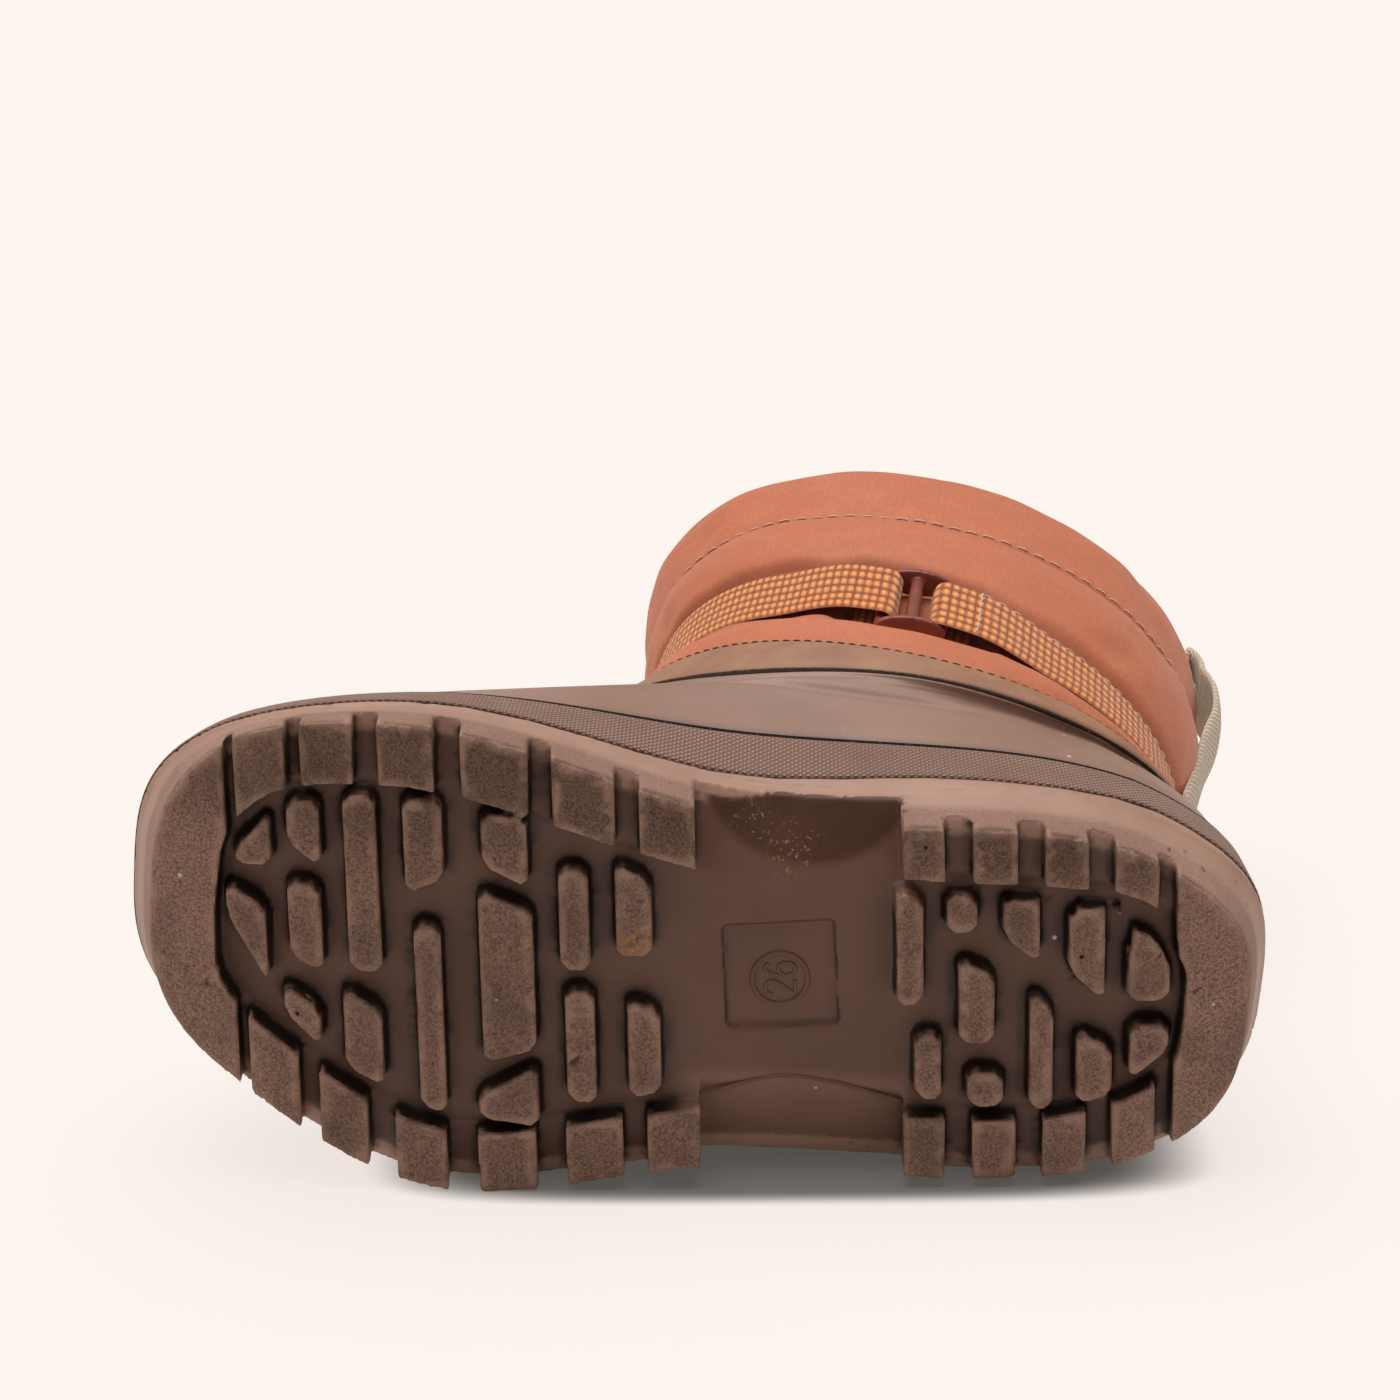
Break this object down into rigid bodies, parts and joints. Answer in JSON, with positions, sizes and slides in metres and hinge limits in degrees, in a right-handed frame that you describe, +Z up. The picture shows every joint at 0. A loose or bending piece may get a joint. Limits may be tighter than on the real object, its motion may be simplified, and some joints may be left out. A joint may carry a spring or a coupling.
{
  "type": "winter boot",
  "caption": "Right child's winter boot lying on its outer side: lugged rubber cup sole, moulded shell, padded nylon shaft, ankle strap with buckle and a pull loop at the back.",
  "frame": {"origin": "centre of the bounding box at floor level, under the boot as it lies on its outer side", "axes": "+Z up from the floor, the toe towards -X, the collar towards +Y and the tread facing -Y"},
  "size_m": [0.2054, 0.173, 0.0869],
  "materials": {
    "outsole": "matte sandy lugs, satin walls",
    "insole": "matte felt",
    "upper": "satin",
    "trim": "matte nubuck",
    "shaft": "woven nylon",
    "strap": "woven webbing",
    "buckle": "satin",
    "pull_loop": "woven webbing"
  },
  "bodies": {
    "root": {"outsole": "outsole", "insole": "insole", "upper": "upper", "trim": "trim", "shaft": "shaft", "strap": "strap", "buckle": "buckle", "pull_loop": "pull_loop"}
  },
  "joints": []
}
